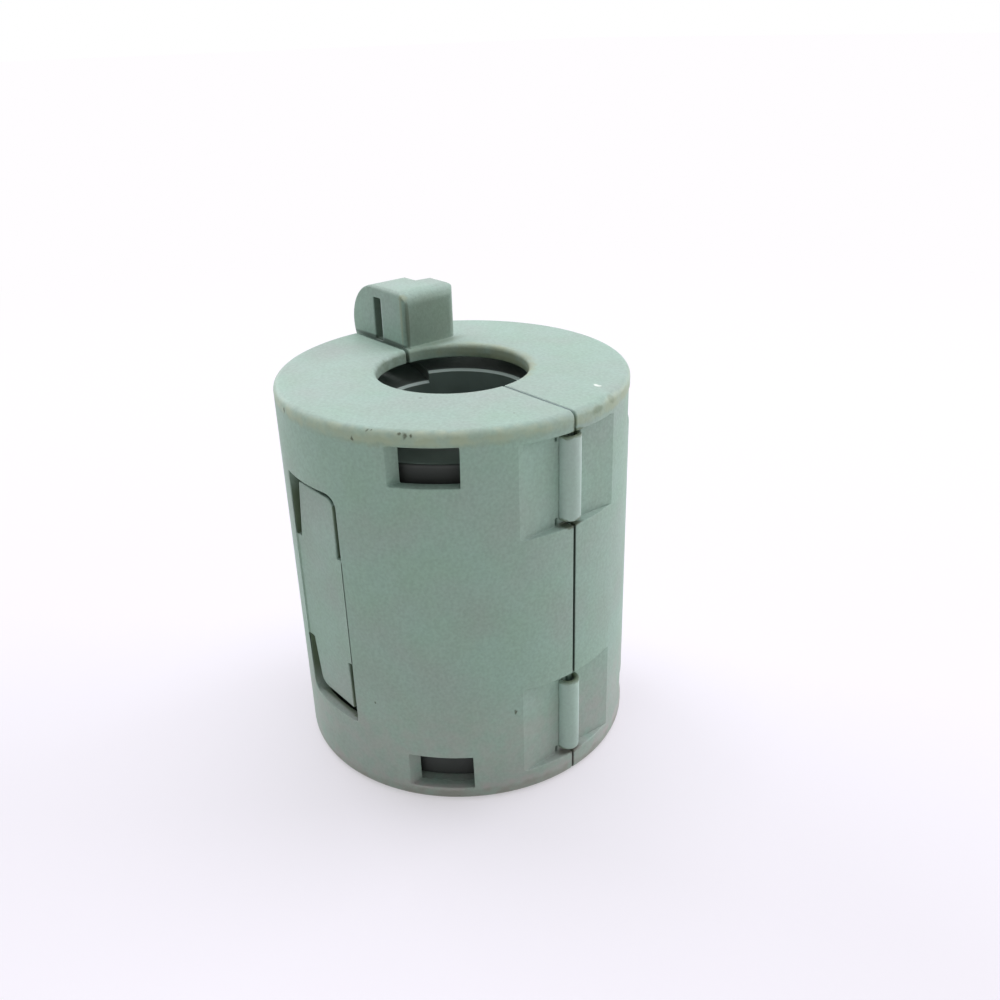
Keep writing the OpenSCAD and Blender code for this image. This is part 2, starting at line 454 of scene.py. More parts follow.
    def inside(self, tree: Tree, place: Socket, mark: Mark) -> Socket:
        """Adds how far inside a mark each point lies: 1 at the centre, 0 at the reach and beyond.

        Args:
            tree: Node tree of the material.
            place: Coordinates that the mark is measured in.
            mark: The mark.

        Returns:
            The depth inside the mark.
        """
        centred = add(
            tree,
            "ShaderNodeMapping",
            {
                "Vector": place,
                "Location": tuple(-c / r for c, r in zip(mark.centre, mark.reach)),
                "Scale": tuple(per_mm(r) for r in mark.reach),
            },
        ).outputs["Vector"]
        if not mark.square:
            ball = add(
                tree, "ShaderNodeTexGradient", {"Vector": centred}, gradient_type="SPHERICAL"
            )
            return ball.outputs["Fac"]
        sizes = add(tree, "ShaderNodeVectorMath", {0: centred}, operation="ABSOLUTE")
        apart = add(tree, "ShaderNodeSeparateXYZ", {0: sizes.outputs["Vector"]})
        x, y, z = (apart.outputs[axis] for axis in "XYZ")
        wider = add(tree, "ShaderNodeMath", {0: x, 1: y}, operation="MAXIMUM").outputs["Value"]
        widest = add(tree, "ShaderNodeMath", {0: wider, 1: z}, operation="MAXIMUM").outputs["Value"]
        depth = add(tree, "ShaderNodeMath", {0: 1.0, 1: widest}, operation="SUBTRACT")
        return depth.outputs["Value"]

    def lay(
        self, tree: Tree, colour: Socket, place: Socket, mark: Mark, cover: Socket | None = None
    ) -> Socket:
        """Lays one mark over a colour.

        Args:
            tree: Node tree of the material.
            colour: Colour so far.
            place: Coordinates that the mark is measured in.
            mark: The mark.
            cover: Share of the mark that has not worn off, where it has worn in patches.

        Returns:
            The colour with the mark on it.
        """
        depth = self.inside(tree, place, mark)
        share = add(
            tree,
            "ShaderNodeMapRange",
            {"Value": depth, "From Max": mark.soft, "To Max": mark.strength},
            interpolation_type="SMOOTHSTEP",
        ).outputs["Result"]
        if cover is not None:
            left = add(tree, "ShaderNodeMath", {0: share, 1: cover}, operation="MULTIPLY")
            share = left.outputs["Value"]
        return add(
            tree,
            "ShaderNodeMix",
            {MIX_FACTOR: share, MIX_A: colour, MIX_B: linear(mark.dirt_and_painted_light.value)},
            data_type="RGBA",
        ).outputs[MIX_RESULT]


@dataclass(frozen=True)
class SinteredFerrite:
    """Sintered soft ferrite, pressed and fired: a near black ceramic with ground ends and bore.

    Attributes:
        skin: Colour of the fired skin round the outside.
        split: Colour of the ground faces where the two halves meet, partly painted light that
            brightens them in the shade.
        ends: Colour of the two ground ends near the bore, partly painted light that brightens them
            in the shade.
        painted_window_light: Colour of the ends further out: painted light, for the light that
            falls in on them through the windows.
        bore: Colour of the ground bore, partly painted light that brightens it in the shade.
        edge: Colour of the ground chamfers round the bore: a painted highlight.
        painted_window_light_ring_mm: Radii between which the painted light on the ends comes up.
        dust_mm: Width of the patches of the thin dust that is everywhere.
        dust_tone: Shares of the colour with the least and the most of that dust.
        grain_mm: Width of one grain of the pressed skin.
        grain_depth_mm: Depth of the hollows between the grains.
        grain_relief: Share of that depth that the light shows.
        roughness: Roughness of the glossiest and of the dullest patches.
        ior: Index of refraction of ferrite.
        sheen: Level of the mirror light, which the pores keep low.
        bore_mm: Radius of the bore.
        chamfer_mm: Width of its chamfers.
        split_deg: Turn of the faces where the two halves meet, about the bore's axis.
        end_depth_mm: Depth to which a surface belongs to an end.
        bore_depth_mm: Depth to which it belongs to the bore.
        split_depth_mm: Depth to which it belongs to a meeting face.
        slack_mm: Half of the length over which one surface's colour turns to the next.
    """

    skin: str = "#262A28"
    split: str = "#757C79"
    ends: str = "#59615E"
    painted_window_light: str = "#9CA5A2"
    bore: str = "#64726E"
    edge: str = "#BFCDCB"
    painted_window_light_ring_mm: Pair = (7.2, 9.5)
    dust_mm: float = 2.0
    dust_tone: Pair = (0.9, 1.12)
    grain_mm: float = 0.3
    grain_depth_mm: float = 0.015
    grain_relief: float = 0.5
    roughness: Pair = (0.55, 0.7)
    ior: float = 2.1
    sheen: float = 0.25
    bore_mm: float = 6.5
    chamfer_mm: float = 0.2
    split_deg: float = -17.5
    end_depth_mm: float = 0.03
    bore_depth_mm: float = 0.04
    split_depth_mm: float = 0.15
    slack_mm: float = 0.02

    def step(self, tree: Tree, value: Socket, at_mm: float, falls: bool = False) -> Socket:
        """Adds a step where a length passes a limit.

        Args:
            tree: Node tree of the material.
            value: The length, in metres.
            at_mm: The limit, in millimetres.
            falls: True for a step from 1 down to 0, False for one from 0 up to 1.

        Returns:
            The step.
        """
        low, high = (1.0, 0.0) if falls else (0.0, 1.0)
        return add(
            tree,
            "ShaderNodeMapRange",
            {
                "Value": value,
                "From Min": (at_mm - self.slack_mm) * MM,
                "From Max": (at_mm + self.slack_mm) * MM,
                "To Min": low,
                "To Max": high,
            },
        ).outputs["Result"]

    def zones(self, tree: Tree, place: Socket, low_mm: float, high_mm: float) -> list[Socket]:
        """Adds the shares of the ground surfaces.

        Args:
            tree: Node tree of the material.
            place: Coordinates of the core.
            low_mm: Height of the core's lower end.
            high_mm: Height of its upper end.

        Returns:
            The shares of the meeting faces, the ends, their painted light, the bore and its
            chamfers.
        """
        apart = add(tree, "ShaderNodeSeparateXYZ", {0: place})
        x, y, z = (apart.outputs[axis] for axis in "XYZ")
        flat = add(tree, "ShaderNodeCombineXYZ", {"X": x, "Y": y}).outputs["Vector"]
        length = add(tree, "ShaderNodeVectorMath", {0: flat}, operation="LENGTH")
        radius = length.outputs["Value"]
        middle = (low_mm + high_mm) / 2 * MM
        offset = add(tree, "ShaderNodeMath", {0: z, 1: middle}, operation="SUBTRACT")
        distance = add(tree, "ShaderNodeMath", {0: offset.outputs["Value"]}, operation="ABSOLUTE")
        height = distance.outputs["Value"]
        half = (high_mm - low_mm) / 2
        at_end = self.step(tree, height, half - self.end_depth_mm)
        # The ends are painted lighter further out, for the light that falls in through the windows.
        inner, outer = self.painted_window_light_ring_mm
        painted_window_light = add(
            tree,
            "ShaderNodeMapRange",
            {"Value": radius, "From Min": inner * MM, "From Max": outer * MM},
        ).outputs["Result"]
        painted_window_light_end = add(tree, "ShaderNodeMath", {0: at_end, 1: painted_window_light}, operation="MULTIPLY")
        in_bore = self.step(tree, radius, self.bore_mm + self.bore_depth_mm, falls=True)
        # The chamfers round the bore get a painted highlight.
        near_end = self.step(tree, height, half - self.chamfer_mm - self.slack_mm)
        within = self.step(
            tree, radius, self.bore_mm + self.chamfer_mm + self.slack_mm, falls=True
        )
        chamfer = add(tree, "ShaderNodeMath", {0: near_end, 1: within}, operation="MULTIPLY")
        turned = add(
            tree,
            "ShaderNodeMapping",
            {"Vector": place, "Rotation": (0, 0, -math.radians(self.split_deg))},
        )
        across = add(tree, "ShaderNodeSeparateXYZ", {0: turned.outputs["Vector"]})
        depth = add(tree, "ShaderNodeMath", {0: across.outputs["Y"]}, operation="ABSOLUTE")
        split = self.step(tree, depth.outputs["Value"], self.split_depth_mm, falls=True)
        return [split, at_end, painted_window_light_end.outputs["Value"], in_bore, chamfer.outputs["Value"]]

    def build(self, name: str, low_mm: float, high_mm: float) -> bpy.types.Material:
        """Makes the ceramic of one core.

        Args:
            name: Name of the material.
            low_mm: Height of the core's lower end.
            high_mm: Height of its upper end.

        Returns:
            The material.
        """
        material, tree = new_material(name)
        place = add(tree, "ShaderNodeTexCoord").outputs["Object"]
        colour = linear(self.skin)
        # The ground faces and the bore are partly painted light that brightens them in the shade.
        tones = (self.split, self.ends, self.painted_window_light, self.bore, self.edge)
        for share, tone in zip(self.zones(tree, place, low_mm, high_mm), tones):
            colour = add(
                tree,
                "ShaderNodeMix",
                {MIX_FACTOR: share, MIX_A: colour, MIX_B: linear(tone)},
                data_type="RGBA",
            ).outputs[MIX_RESULT]
        dust = add(
            tree,
            "ShaderNodeTexNoise",
            {"Vector": place, "Scale": per_mm(self.dust_mm), "Detail": 5.0},
        ).outputs["Fac"]
        shades = {}
        for shade, (low, high) in {"bloom": self.dust_tone, "gloss": self.roughness}.items():
            shades[shade] = add(
                tree,
                "ShaderNodeMapRange",
                {
                    "Value": dust,
                    "From Min": NOISE_LOW,
                    "From Max": NOISE_HIGH,
                    "To Min": low,
                    "To Max": high,
                },
            ).outputs["Result"]
        colour = add(
            tree, "ShaderNodeVectorMath", {0: colour, 1: shades["bloom"]}, operation="MULTIPLY"
        )
        grain = add(
            tree,
            "ShaderNodeTexNoise",
            {"Vector": place, "Scale": per_mm(self.grain_mm), "Detail": 2.0},
        )
        relief = add(
            tree,
            "ShaderNodeBump",
            {
                "Height": grain.outputs["Fac"],
                "Strength": self.grain_relief,
                "Distance": self.grain_depth_mm * MM,
            },
        )
        # Ferrite would mirror strongly, but its pores keep most of the sheen down.
        shader = add(
            tree,
            "ShaderNodeBsdfPrincipled",
            {
                "Base Color": colour.outputs["Vector"],
                "Roughness": shades["gloss"],
                "IOR": self.ior,
                "Specular IOR Level": self.sheen,
                "Normal": relief.outputs["Normal"],
            },
        )
        add(tree, "ShaderNodeOutputMaterial", {"Surface": shader.outputs["BSDF"]})
        return material


def deselect_all() -> None:
    """Leaves nothing selected, in object mode."""
    bpy.ops.object.select_all(action="DESELECT")


def dress(piece: bpy.types.Object, material: bpy.types.Material) -> None:
    """Gives a piece one material in place of any that it has."""
    piece.data.materials.clear()
    piece.data.materials.append(material)


def soften(piece: bpy.types.Object, width_mm: float, sharp_deg: float, **settings) -> None:
    """Softens the sharp edges of the active piece and applies the change.

    Args:
        piece: The piece.
        width_mm: Width of the softened edges.
        sharp_deg: Smallest angle between two faces whose edge is softened.
        **settings: Further attributes of the bevel.
    """
    soft = piece.modifiers.new("soft_edges", "BEVEL")
    soft.width = width_mm * MM
    soft.segments = EDGE_SEGMENTS
    soft.limit_method = "ANGLE"
    soft.angle_limit = math.radians(sharp_deg)
    for name, value in settings.items():
        setattr(soft, name, value)
    bpy.ops.object.modifier_apply(modifier=soft.name)


@dataclass
class NylonCase:
    """The two moulded half shells of the case.

    Attributes:
        solids: CAD nodes by name.
        nylon: Finish of the case.
        edge_mm: Width of the softened edge that the moulding tool leaves.
        merge_mm: Distance below which corners are merged.
        flat_deg: Largest angle between two faces that count as one flat face.
        sharp_deg: Smallest angle between two faces that the tool has softened.
        crease_deg: Smallest angle between two faces that looks like a crease.
        step_at_mm: Height and smallest radius of the hairline step round the foot of the tie tab.
        step_merge_mm: Distance below which the corners of that step are merged.
        stray_mm: Distance from the solid beyond which a corner of the skin is brought back onto it.
    """

    solids: dict[str, bpy.types.Object]
    nylon: MouldedNylon = field(default_factory=MouldedNylon)
    edge_mm: float = 0.09
    merge_mm: float = 0.04
    flat_deg: float = 0.4
    sharp_deg: float = 32.0
    crease_deg: float = 17.0
    step_at_mm: Pair = (34.4, 15.3)
    step_merge_mm: float = 0.25
    stray_mm: float = 0.045

    def close_step(self, piece: bpy.types.Object) -> None:
        """Merges the two rings of the hairline step, which is too fine for soft edges.

        Args:
            piece: The shell, in edit mode. All of it is selected afterwards.
        """
        height, radius = self.step_at_mm
        bpy.ops.mesh.select_all(action="DESELECT")
        bpy.ops.object.mode_set(mode="OBJECT")
        for vertex in piece.data.vertices:
            x, y, z = vertex.co / MM
            vertex.select = abs(z - height) < self.merge_mm and math.hypot(x, y) > radius
        bpy.ops.object.mode_set(mode="EDIT")
        bpy.ops.mesh.remove_doubles(threshold=self.step_merge_mm * MM)
        bpy.ops.mesh.select_all(action="SELECT")

    def pull_in(self, piece: bpy.types.Object, solid: bpy.types.Object) -> None:
        """Brings the corners that the softening has thrown off the solid back onto it.

        Args:
            piece: The softened shell.
            solid: Its CAD node.
        """
        for vertex in piece.data.vertices:
            found, spot, _, _ = solid.closest_point_on_mesh(vertex.co)
            if found and (vertex.co - spot).length > self.stray_mm * MM:
                vertex.co = spot

    def skin(self, node: str, body: str) -> bpy.types.Object:
        """Copies a shell, merges it, softens its edges and lets it ride on its body.

        Args:
            node: CAD node that the skin stands for.
            body: CAD body that it moves with.

        Returns:
            The skin.
        """
        deselect_all()
        piece = bpy.data.objects.new(f"{node}_skin", self.solids[node].data.copy())
        bpy.context.scene.collection.objects.link(piece)
        piece.select_set(True)
        bpy.context.view_layer.objects.active = piece
        bpy.ops.mesh.customdata_custom_splitnormals_clear()
        bpy.ops.object.mode_set(mode="EDIT")
        bpy.ops.mesh.select_all(action="SELECT")
        bpy.ops.mesh.remove_doubles(threshold=self.merge_mm * MM)
        self.close_step(piece)
        bpy.ops.mesh.dissolve_limited(angle_limit=math.radians(self.flat_deg))
        bpy.ops.object.mode_set(mode="OBJECT")
        arcs = {"use_clamp_overlap": False, "miter_outer": "MITER_ARC"}
        soften(piece, self.edge_mm, self.sharp_deg, **arcs)
        self.pull_in(piece, self.solids[node])
        bpy.ops.object.shade_smooth_by_angle(angle=math.radians(self.crease_deg))
        even = piece.modifiers.new("even_shading", "WEIGHTED_NORMAL")
        even.keep_sharp = True
        bpy.ops.object.modifier_apply(modifier=even.name)
        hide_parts(node)
        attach(piece, body)
        return piece

    def front(self) -> bpy.types.Object:
        """Builds the half with the side plate and the latch loops.

        Returns:
            The front skin.
        """
        piece = self.skin("front_shell", "front")
        dress(piece, self.nylon.build("moulded_nylon_front", self.front_marks()))
        return piece

    def back(self) -> bpy.types.Object:
        """Builds the half with the tie tab and the catches.

        Returns:
            The back skin.
        """
        piece = self.skin("back_shell", "back")
        dress(piece, self.nylon.build("moulded_nylon_back", self.back_marks()))
        return piece

    def seam_marks(self, side: int) -> list[Mark]:
        """Lists the grime, painted shade and painted light that both shells have along the seam and
        round the ends of the webs.

        Args:
            side: 1 for the back shell and -1 for the front shell.

        Returns:
            The marks.
        """
        marks = [
            # Painted shade, with some grime, in the seam gap on the hinge side and on the latch
            # side.
            block(DirtAndPaintedLight.SHADE, (15.3, 0, 15), (0.95, 0.14, 17.2), 0.85, 0.15),
            block(DirtAndPaintedLight.SHADE, (-15.3, 0, 15), (0.95, 0.3, 17.2), 0.6, 0.15),
            # Painted light on the walls of the seam gap at the top of the hinge side, which are in
            # shade.
            block(DirtAndPaintedLight.HIGHLIGHT_AND_WHITENING, (10.6, 0, 33.7), (4.2, 0.13, 0.7), 0.9, 0.15),
            Mark(DirtAndPaintedLight.OLIVE, (15.0, 0, 33.0), (0.8, 0.32, 0.9), 0.6),
            # Painted shade in the seam at the mouth beside the tie tab.
            Mark(DirtAndPaintedLight.SHADE, (-6.7, 0, 33.2), (0.8, 0.3, 1.0), 0.8),
        ]
        # Grime with painted shade in the gaps at the ends of the webs.
        for z, height in ((24.55, 0.3), (10.1, 0.5), (2.15, 0.3)):
            marks.append(Mark(DirtAndPaintedLight.GRIME_AND_SHADE, (14.5, 0.2 * side, z), (1.1, 1.2, height), 0.85))
        marks.append(Mark(DirtAndPaintedLight.OLIVE, (14.5, 0.2 * side, 32.3), (1.1, 1.2, 0.35), 0.9))
        return marks

    def front_marks(self) -> list[Mark]:
        """Lists the dirty and worn places of the front shell, its painted shade and its painted
        highlights.

        Returns:
            The marks, with those along the seam first.
        """
        stain = [
            Mark(DirtAndPaintedLight.DUST, (15.0, -16, 0), (5, 60, 12), 0.4, Space.ROUND),
            # Painted highlight along the rim, as a rounder rim would catch, over rubbed wear.
            Mark(DirtAndPaintedLight.RUBBED_AND_HIGHLIT, (15.0, -14.0, 33.45), (0.9, 24, 0.7), 0.75, Space.ROUND),
            Mark(DirtAndPaintedLight.STAIN, (15.0, -13.0, 33.1), (0.9, 21, 0.6), 0.4, Space.ROUND),
            Mark(DirtAndPaintedLight.DUST, (15.0, -9.0, 0.6), (0.8, 26, 1.4), 0.7, Space.ROUND),
            Mark(DirtAndPaintedLight.OLIVE, (14.9, -9.0, 0.5), (0.7, 24, 0.8), 0.35, Space.ROUND),
            Mark(DirtAndPaintedLight.OLIVE, (6.5, -40, 33.2), (0.5, 16, 0.9), 0.6, Space.ROUND),
        ]
        # Painted shade on the walls of the slits round the side plate, tinted like olive grime.
        plate = [
            block(DirtAndPaintedLight.OLIVE, (-3.5, -13.95, 17), (0.2, 0.62, 10.9), 0.9),
            block(DirtAndPaintedLight.OLIVE, (2.66, -13.8, 10.0), (0.2, 0.6, 4.6), 0.8),
            block(DirtAndPaintedLight.OLIVE, (2.66, -13.8, 24.0), (0.2, 0.6, 4.6), 0.8),
            block(DirtAndPaintedLight.SHADE, (0, -13.7, 27.1), (2.8, 0.5, 0.5), 0.6),
            block(DirtAndPaintedLight.OLIVE, (0, -13.9, 6.2), (3.6, 0.5, 0.3), 0.8, 0.6),
        ]
        specks = [
            speck(-2.4, -14.8, 33.3, 0.26),
            speck(5.8, -13.8, 33.1, 0.17),
            speck(6.85, -13.2, 33.9),
            speck(7.15, -13.0, 33.95, 0.14),
            speck(9.0, -11.9, 33.8, 0.18),
            speck(9.3, -11.65, 33.75, 0.25),
            speck(9.75, -11.3, 33.7, 0.16),
            speck(4.4, -6.7, 34.0, 0.25, 0.4),
            speck(12.0, -3.5, 34.0, 0.13),
            speck(5.55, -13.93, 9.2, 0.14),
            speck(13.89, -5.67, 8.6, 0.17),
        ]
        # Painted highlights on the right edges of the two windows.
        edges = [
            block(DirtAndPaintedLight.HIGHLIGHT_AND_WHITENING, (10.13, -11.1, z), (0.09, 0.2, 1.7), 0.6, 0.5) for z in (2.9, 31.1)
        ]
        return self.seam_marks(-1) + stain + plate + specks + edges

    def back_marks(self) -> list[Mark]:
        """Lists the dirty and worn places of the back shell, its painted shade and its painted
        highlights.

        Returns:
            The marks, with those along the seam first.
        """
        stain = [
            Mark(DirtAndPaintedLight.DUST, (15.0, 16, 0), (5, 60, 12), 0.4, Space.ROUND),
            # Painted highlight along the rim, as a rounder rim would catch, over rubbed wear.
            Mark(DirtAndPaintedLight.RUBBED_AND_HIGHLIT, (15.0, 6.0, 33.35), (0.9, 13, 0.7), 0.5, Space.ROUND),
            Mark(DirtAndPaintedLight.STAIN, (15.0, 5.0, 33.2), (0.9, 11, 0.6), 0.5, Space.ROUND),
            Mark(DirtAndPaintedLight.DUST, (15.0, 9.0, 0.6), (0.8, 26, 1.4), 0.7, Space.ROUND),
            Mark(DirtAndPaintedLight.OLIVE, (14.9, 9.0, 0.5), (0.7, 24, 0.8), 0.35, Space.ROUND),
            Mark(DirtAndPaintedLight.OLIVE, (14.78, 2.6, 33.4), (0.7, 0.9, 0.5), 0.45),
            Mark(DirtAndPaintedLight.OLIVE, (14.27, 4.6, 33.6), (0.6, 0.8, 0.4), 0.4),
            block(DirtAndPaintedLight.OLIVE, (0, 4, 32.8), (7.2, 7.2, 0.65), 0.8, 0.6),
            Mark(DirtAndPaintedLight.STAIN, (6.7, 21.0, 33.5), (0.9, 34, 0.9), 0.75, Space.ROUND),
        ]
        tab = [
            Mark(DirtAndPaintedLight.OLIVE, (-6.6, 3.0, 36.0), (1.1, 5.0, 4.2), 0.5, Space.PLAIN),
            Mark(DirtAndPaintedLight.GRIME_AND_SHADE, (-6.85, 0.45, 36.2), (0.3, 0.26, 3.6), 0.55, Space.PLAIN),
            Mark(DirtAndPaintedLight.STAIN, (-7.35, 0.1, 36.8), (0.22, 0.4, 3.4), 0.6, Space.PLAIN),
            Mark(DirtAndPaintedLight.STAIN, (-7.1, 0.3, 38.6), (0.7, 0.6, 0.5), 0.6),
            # Painted shade, with some grime, at the foot of the tie tab over the seam gap.
            Mark(DirtAndPaintedLight.SHADE, (-10.5, 0.0, 34.1), (6.5, 0.5, 0.35), 0.7, Space.PLAIN),
            # Painted shade in the tie tab's slot, tinted like grime.
            block(DirtAndPaintedLight.GRIME_AND_SHADE, (-11.125, 1.9, 35.95), (0.6, 1.74, 2.0), 0.8, 0.07),
            # Painted highlight on the right edge of the slot.
            block(DirtAndPaintedLight.HIGHLIGHT_AND_WHITENING, (-10.43, 0.1, 35.95), (0.12, 0.15, 2.0), 0.5),
        ]
        chip = [Mark(DirtAndPaintedLight.CHIP, (11.9, 5.4, 34.0), (0.5, 0.32, 0.3), 0.9)]
        return self.seam_marks(1) + stain + tab + chip


@dataclass
class HingeWeb:
    """One living hinge: a half-round web on two short legs, which bends from shell to shell.

    Attributes:
        node: CAD node that the web stands for.
        low_mm: Height of the web's lower end.
        high_mm: Height of its upper end.
        floor_mm: Distance of the pocket floors from the bore's axis.
        leg_mm: Height of the straight legs.
        outer_mm: Outside radius of the half round.
        thickness_mm: Thickness of the web.
        edge_mm: Width of the softened edges.
        merge_mm: Distance below which corners are merged.
        sharp_deg: Smallest angle between two faces that is softened.
        crease_deg: Smallest angle between two faces that looks like a crease.
        steps: Number of faces round the half round.
        rest_attribute: Attribute that keeps each point's place at rest.
    """

    node: str
    low_mm: float
    high_mm: float
    floor_mm: float = 14.15
    leg_mm: float = 0.13
    outer_mm: float = 0.97
    thickness_mm: float = 0.42
    edge_mm: float = 0.1
    merge_mm: float = 0.001
    sharp_deg: float = 60.0
    crease_deg: float = 35.0
    steps: int = 40
    rest_attribute: str = "rest_place"

    def marks(self) -> list[Mark]:
        """Lists the whitening of the flexed skin, which is partly painted light, a painted
        highlight on the crest, and grime with painted shade in the hollow's two ends.

        Returns:
            The marks.
        """
        centre = self.floor_mm + self.leg_mm
        middle = (self.low_mm + self.high_mm) / 2
        plain = Space.PLAIN
        marks = [
            # Whitening of the flexed nylon, and painted light that brightens the whole web.
            Mark(DirtAndPaintedLight.HIGHLIGHT_AND_WHITENING, (centre + 0.7, 0.0, middle), (1.8, 2.4, 60), 0.36, plain),
            # Painted highlight along the crest, where the web turns away.
            Mark(DirtAndPaintedLight.HIGHLIGHT_AND_WHITENING, (centre + 0.7, 0.66, middle), (0.6, 0.3, 5), 0.9, plain),
        ]
        # Painted shade, with some grime, in the hollow's two ends.
        for z in (self.low_mm, self.high_mm):
            marks.append(Mark(DirtAndPaintedLight.SHADE, (centre - 0.1, 0, z), (0.82, 0.82, 1.6), 1.0, plain, 0.4))
            marks.append(Mark(DirtAndPaintedLight.OLIVE, (centre, 0, z), (1.6, 1.6, 0.32), 0.9))
        return marks

    def extrude(self, distance_mm: float) -> None:
        """Extrudes the selected faces along X by a distance in millimetres."""
        bpy.ops.mesh.extrude_region_move(
            TRANSFORM_OT_translate={"value": (distance_mm * MM, 0, 0)}
        )

    def build(self, nylon: MouldedNylon) -> bpy.types.Object:
        """Draws the web up from one foot, over the seam and down to the other foot.

        Args:
            nylon: Finish of the web.

        Returns:
            The web.
        """
        foot_y = -(self.outer_mm - self.thickness_mm / 2) * MM
        middle = Vector((self.floor_mm * MM, foot_y, (self.low_mm + self.high_mm) / 2 * MM))
        deselect_all()
        bpy.ops.mesh.primitive_plane_add(size=1, location=middle, rotation=(0, math.pi / 2, 0))
        piece = bpy.context.object
        piece.name = self.node.replace("strap", "web")
        piece.scale = ((self.high_mm - self.low_mm) * MM, self.thickness_mm * MM, 1)
        bpy.ops.object.transform_apply(location=True, rotation=True, scale=True)
        bpy.ops.object.mode_set(mode="EDIT")
        bpy.ops.mesh.select_all(action="SELECT")
        self.extrude(self.leg_mm)
        centre = ((self.floor_mm + self.leg_mm) * MM, 0, 0)
        bpy.ops.mesh.spin(steps=self.steps, angle=-math.pi, center=centre, axis=(0, 0, 1))
        self.extrude(-self.leg_mm)
        bpy.ops.mesh.select_all(action="SELECT")
        bpy.ops.mesh.remove_doubles(threshold=self.merge_mm * MM)
        bpy.ops.mesh.normals_make_consistent(inside=False)
        bpy.ops.object.mode_set(mode="OBJECT")
        return self.finish(piece, nylon)

    def finish(self, piece: bpy.types.Object, nylon: MouldedNylon) -> bpy.types.Object:
        """Softens the web's edges and dresses it.

        Args:
            piece: The bare web.
            nylon: Finish of the web.

        Returns:
            The finished web.
        """
        soften(piece, self.edge_mm, self.sharp_deg)
        bpy.ops.object.shade_smooth_by_angle(angle=math.radians(self.crease_deg))
        rest = piece.data.attributes.new(self.rest_attribute, "FLOAT_VECTOR", "POINT")
        for point, vertex in zip(rest.data, piece.data.vertices):
            point.vector = vertex.co
        name = f"moulded_nylon_{piece.name}"
        dress(piece, nylon.build(name, self.marks(), self.rest_attribute))
        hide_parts(self.node)
        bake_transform(piece)
        return piece


@dataclass
class FerriteCores:
    """The two pressed half cores.

    Attributes:
        solids: CAD nodes by name.
        ferrite: Their finish.
    """

    solids: dict[str, bpy.types.Object]
    ferrite: SinteredFerrite = field(default_factory=SinteredFerrite)

    def dress(self) -> list[bpy.types.Object]:
        """Gives each core its finish.

        Returns:
            The two cores.
        """
        cores = []
        for node in ("front_core", "back_core"):
            low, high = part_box(node)
            ceramic = self.ferrite.build(f"sintered_ferrite_{node}", low.z / MM, high.z / MM)
            dress(self.solids[node], ceramic)
            cores.append(self.solids[node])
        return cores


